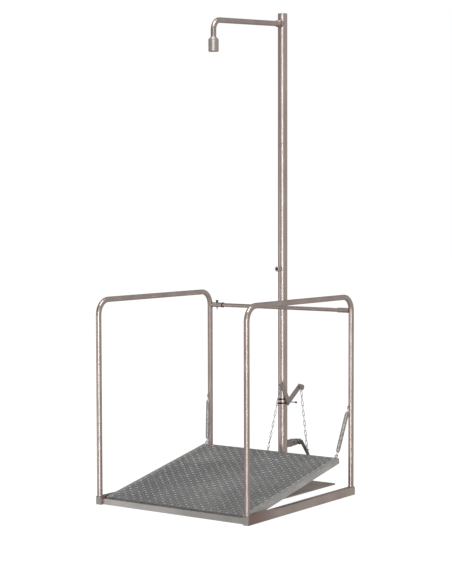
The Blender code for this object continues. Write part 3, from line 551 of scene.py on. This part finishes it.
# ---- Tension springs: close-wound zinc-plated wire with a hook at each end, from upright to deck corner ----
# One wire runs from hook to hook.
WIRE_R, COIL_R, HOOK_R = 0.00125, 0.0092, 0.0058
COIL_START, COIL_LENGTH = 0.023, 0.211
SPRING_TOP, SPRING_EYE = (0.436, -0.062, 0.445), (0.402, 0.820, 0.0205)
spring_metal, place, feed = new_finish("spring_zinc", Metallic=1.0)
clouds = place.noise(70.0, 3.0)
feed("Base Color", clouds.step(0.3, 0.7).tint((0.66, 0.62, 0.59, 1), (0.92, 0.88, 0.85, 1)))
feed("Roughness", 0.22 + clouds * 0.2)
feed("Normal", clouds.node("ShaderNodeBump", None, {"Strength": 0.3, "Distance": 0.0001, "Height": clouds}))
wire_tree, wire = new_tree("round_wire", Radius=float, Sides=int, Material=bpy.types.Material)
line = wire["Geometry"].node("GeometryNodeMeshToCurve", None, {"Mesh": wire["Geometry"]})
section = line.node("GeometryNodeCurvePrimitiveCircle", None, {"Resolution": wire["Sides"],
                                                               "Radius": wire["Radius"]})
bar = line.node("GeometryNodeCurveToMesh", None, {"Curve": line, "Profile Curve": section, "Fill Caps": True})
close_tree(wire_tree, bar, wire["Material"])


def from_to(low, high):
    """A frame at low whose +Z points at high and whose +X stays as near world X as it can."""
    up = (Vector(high) - Vector(low)).normalized()
    across = Vector((1, 0, 0))
    across = (across - up * across.dot(up)).normalized()
    return Matrix.Translation(low) @ Matrix((across, up.cross(across), up)).transposed().to_4x4()


for side, word in ((-1, "left"), (1, "right")):
    top = Vector((side * SPRING_TOP[0], *SPRING_TOP[1:]))
    eye = deck_frame @ Vector((side * SPRING_EYE[0], *SPRING_EYE[1:]))
    hang = from_to(top, 2 * top - eye)
    length = (top - eye).length
    loop = [math.radians(-50 + 300 * step / 18) for step in range(19)]
    points = [(HOOK_R * math.cos(turn), 0, HOOK_R * math.sin(turn) - HOOK_R) for turn in loop]
    neck = 2 * HOOK_R + 0.0025
    points += [(0, 0, -neck), (0, 0, -COIL_START + 0.002)]
    turns = COIL_LENGTH / (2 * WIRE_R)
    steps = int(turns * 14)
    for step in range(steps + 1):
        share = step / steps
        turn = math.tau * turns * share
        swell = min(1.0, 12 * share, 12 * (1 - share)) ** 0.25
        points.append((COIL_R * swell * math.cos(turn), COIL_R * swell * math.sin(turn),
                       -COIL_START - COIL_LENGTH * share))
    points += [(0, 0, -COIL_START - COIL_LENGTH - 0.002), (0, 0, neck - length)]
    points += [(HOOK_R * math.cos(turn), 0, HOOK_R - HOOK_R * math.sin(turn) - length)
               for turn in reversed(loop)]
    coil = grow(f"spring_coil_{word}", polyline("spring_line", [(points, False)]), wire_tree,
                Radius=WIRE_R, Sides=8, Material=spring_metal)
    coil.data.transform(hang)
    smooth(coil)
    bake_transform(coil)
    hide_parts(f"spring_{word}", f"spring_hook_{word}")

# ---- Bell crank: a V of plate on a spindle, held to the standpipe by two split hoops ----
# Laser-cut plate with tumbled edges; hoops and bolts are black oxide steel, the chain pins are bright.
crank_steel = metal("crank_steel", (0.44, 0.375, 0.35), (0.68, 0.60, 0.56), (300, 300, 300), (0.3, 0.45))
hoop_steel = metal("hoop_steel", (0.018, 0.016, 0.015), (0.06, 0.054, 0.05), (500, 500, 500), (0.35, 0.5))
nut_steel = metal("nut_steel", (0.42, 0.40, 0.38), (0.66, 0.63, 0.60), (500, 500, 500), (0.25, 0.4))
dress(crank_steel, "bell_crank", "crank_spindle")
dress(hoop_steel, "crank_hoop_lower", "crank_hoop_upper", "hoop_bolt_lower", "hoop_bolt_upper", "spindle_nut")
dress(nut_steel, "crank_front_pin", "crank_rear_pin")

# ---- Inlet and ball valve: a threaded socket, union and valve body behind the standpipe, and a lever ----
# The body is a rough bronze casting with machined ends; the lever is bent from black plate.
cast, place, feed = new_finish("valve_casting", Metallic=1.0)
grains = place.noise(900.0, 3.0)
patches = place.noise(60.0, 4.0).step(0.35, 0.65)
feed("Base Color", (patches * 0.7 + grains * 0.3).tint((0.24, 0.21, 0.19, 1), (0.74, 0.67, 0.61, 1)))
feed("Roughness", 0.38 + grains * 0.25)
feed("Normal", grains.node("ShaderNodeBump", None, {"Strength": 0.7, "Distance": 0.0004, "Height": grains}))
inlet_steel = metal("inlet_steel", (0.44, 0.375, 0.345), (0.66, 0.575, 0.535), along_y, (0.26, 0.4))
lever_steel = metal("lever_steel", (0.10, 0.09, 0.083), (0.32, 0.29, 0.27), (300, 300, 300), (0.3, 0.46),
                    cloud=60.0)
dress(cast, "valve_body", "gland_nut")
dress(inlet_steel, "inlet_socket", "union_nut", "inlet_connector")
dress(nut_steel, "valve_ball", "lever_nut", "lever_pin")
dress(lever_steel, "valve_lever")
dress(pin_steel, "valve_stem", "port_plug")

# ---- Chains: long-link chain of welded bright zinc wire, hooked over the crank pins ----
# The front chain joins the deck's rear edge to the crank's front arm, the rear one lifts the valve lever.
chain_metal, place, feed = new_finish("chain_zinc", Metallic=1.0)
clouds = place.noise(180.0, 3.0)
feed("Base Color", clouds.step(0.3, 0.7).tint((0.26, 0.25, 0.235, 1), (0.78, 0.765, 0.745, 1)))
feed("Roughness", 0.16 + clouds * 0.22)
feed("Normal", clouds.node("ShaderNodeBump", None, {"Strength": 0.3, "Distance": 0.0001, "Height": clouds}))
link_tree, link = new_tree("chain_links", Links=int, Pitch=float, Width=float, Thick=float, Twist=float,
                           Material=bpy.types.Material)
outline = link["Pitch"].node("GeometryNodeCurvePrimitiveQuadrilateral", None, {
    "Width": link["Width"] - link["Thick"], "Height": link["Pitch"] + link["Thick"]})
outline = outline.node("GeometryNodeFilletCurve", {"mode": "POLY"}, {
    "Curve": outline, "Count": 5, "Radius": (link["Width"] - link["Thick"]) / 2 - 0.00002})
section = outline.node("GeometryNodeCurvePrimitiveCircle", None, {"Resolution": 8, "Radius": link["Thick"] / 2})
ring_link = outline.node("GeometryNodeCurveToMesh", None, {"Curve": outline, "Profile Curve": section})
ring_link = ring_link.node("GeometryNodeTransform", None, {
    "Geometry": ring_link, "Rotation": (math.pi / 2, 0, math.pi / 2)})
drop = ring_link.node("ShaderNodeCombineXYZ", None, {"Z": 0 - link["Pitch"]})
row = ring_link.node("GeometryNodeMeshLine", None, {"Count": link["Links"], "Offset": drop})
index = row.node("GeometryNodeInputIndex")
share = index.maths("SINE", index / (link["Links"] - 1) * math.pi)
turned = index * math.pi / 2 + share * link["Twist"]
turned = index.node("ShaderNodeCombineXYZ", None, {"Z": turned})
links = row.node("GeometryNodeInstanceOnPoints", None, {
    "Points": row, "Instance": ring_link, "Rotation": turned})
close_tree(link_tree, links, link["Material"])
LINK_WIDE, LINK_WIRE, LINKS = 0.0112, 0.0030, 13
TOP_PIN_R, LOW_PIN_R = 0.0032, 0.0030
deck_stud = deck_frame @ Vector((-0.020, 0.820, -0.002))
lever_eye = Vector((0.044, 0.16735, 0.16466))
front_arm, rear_arm = Vector((0.026, -0.058, 0.530)), Vector((0.044, 0.104, 0.507))
for name, low, high in (("platform_chain", deck_stud, front_arm), ("valve_chain", lever_eye, rear_arm)):
    length = (high - low).length
    pitch = (length + TOP_PIN_R + LOW_PIN_R) / LINKS
    row = grow(f"{name}_links", bpy.data.meshes.new("link_seed"), link_tree, Links=LINKS, Pitch=pitch,
               Width=LINK_WIDE, Thick=LINK_WIRE, Twist=math.radians(35), Material=chain_metal)
    first = Vector((0, 0, length + TOP_PIN_R - pitch / 2))
    row.data.transform(from_to(low, high) @ Matrix.Translation(first))
    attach(smooth(row), name)
    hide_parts(name)
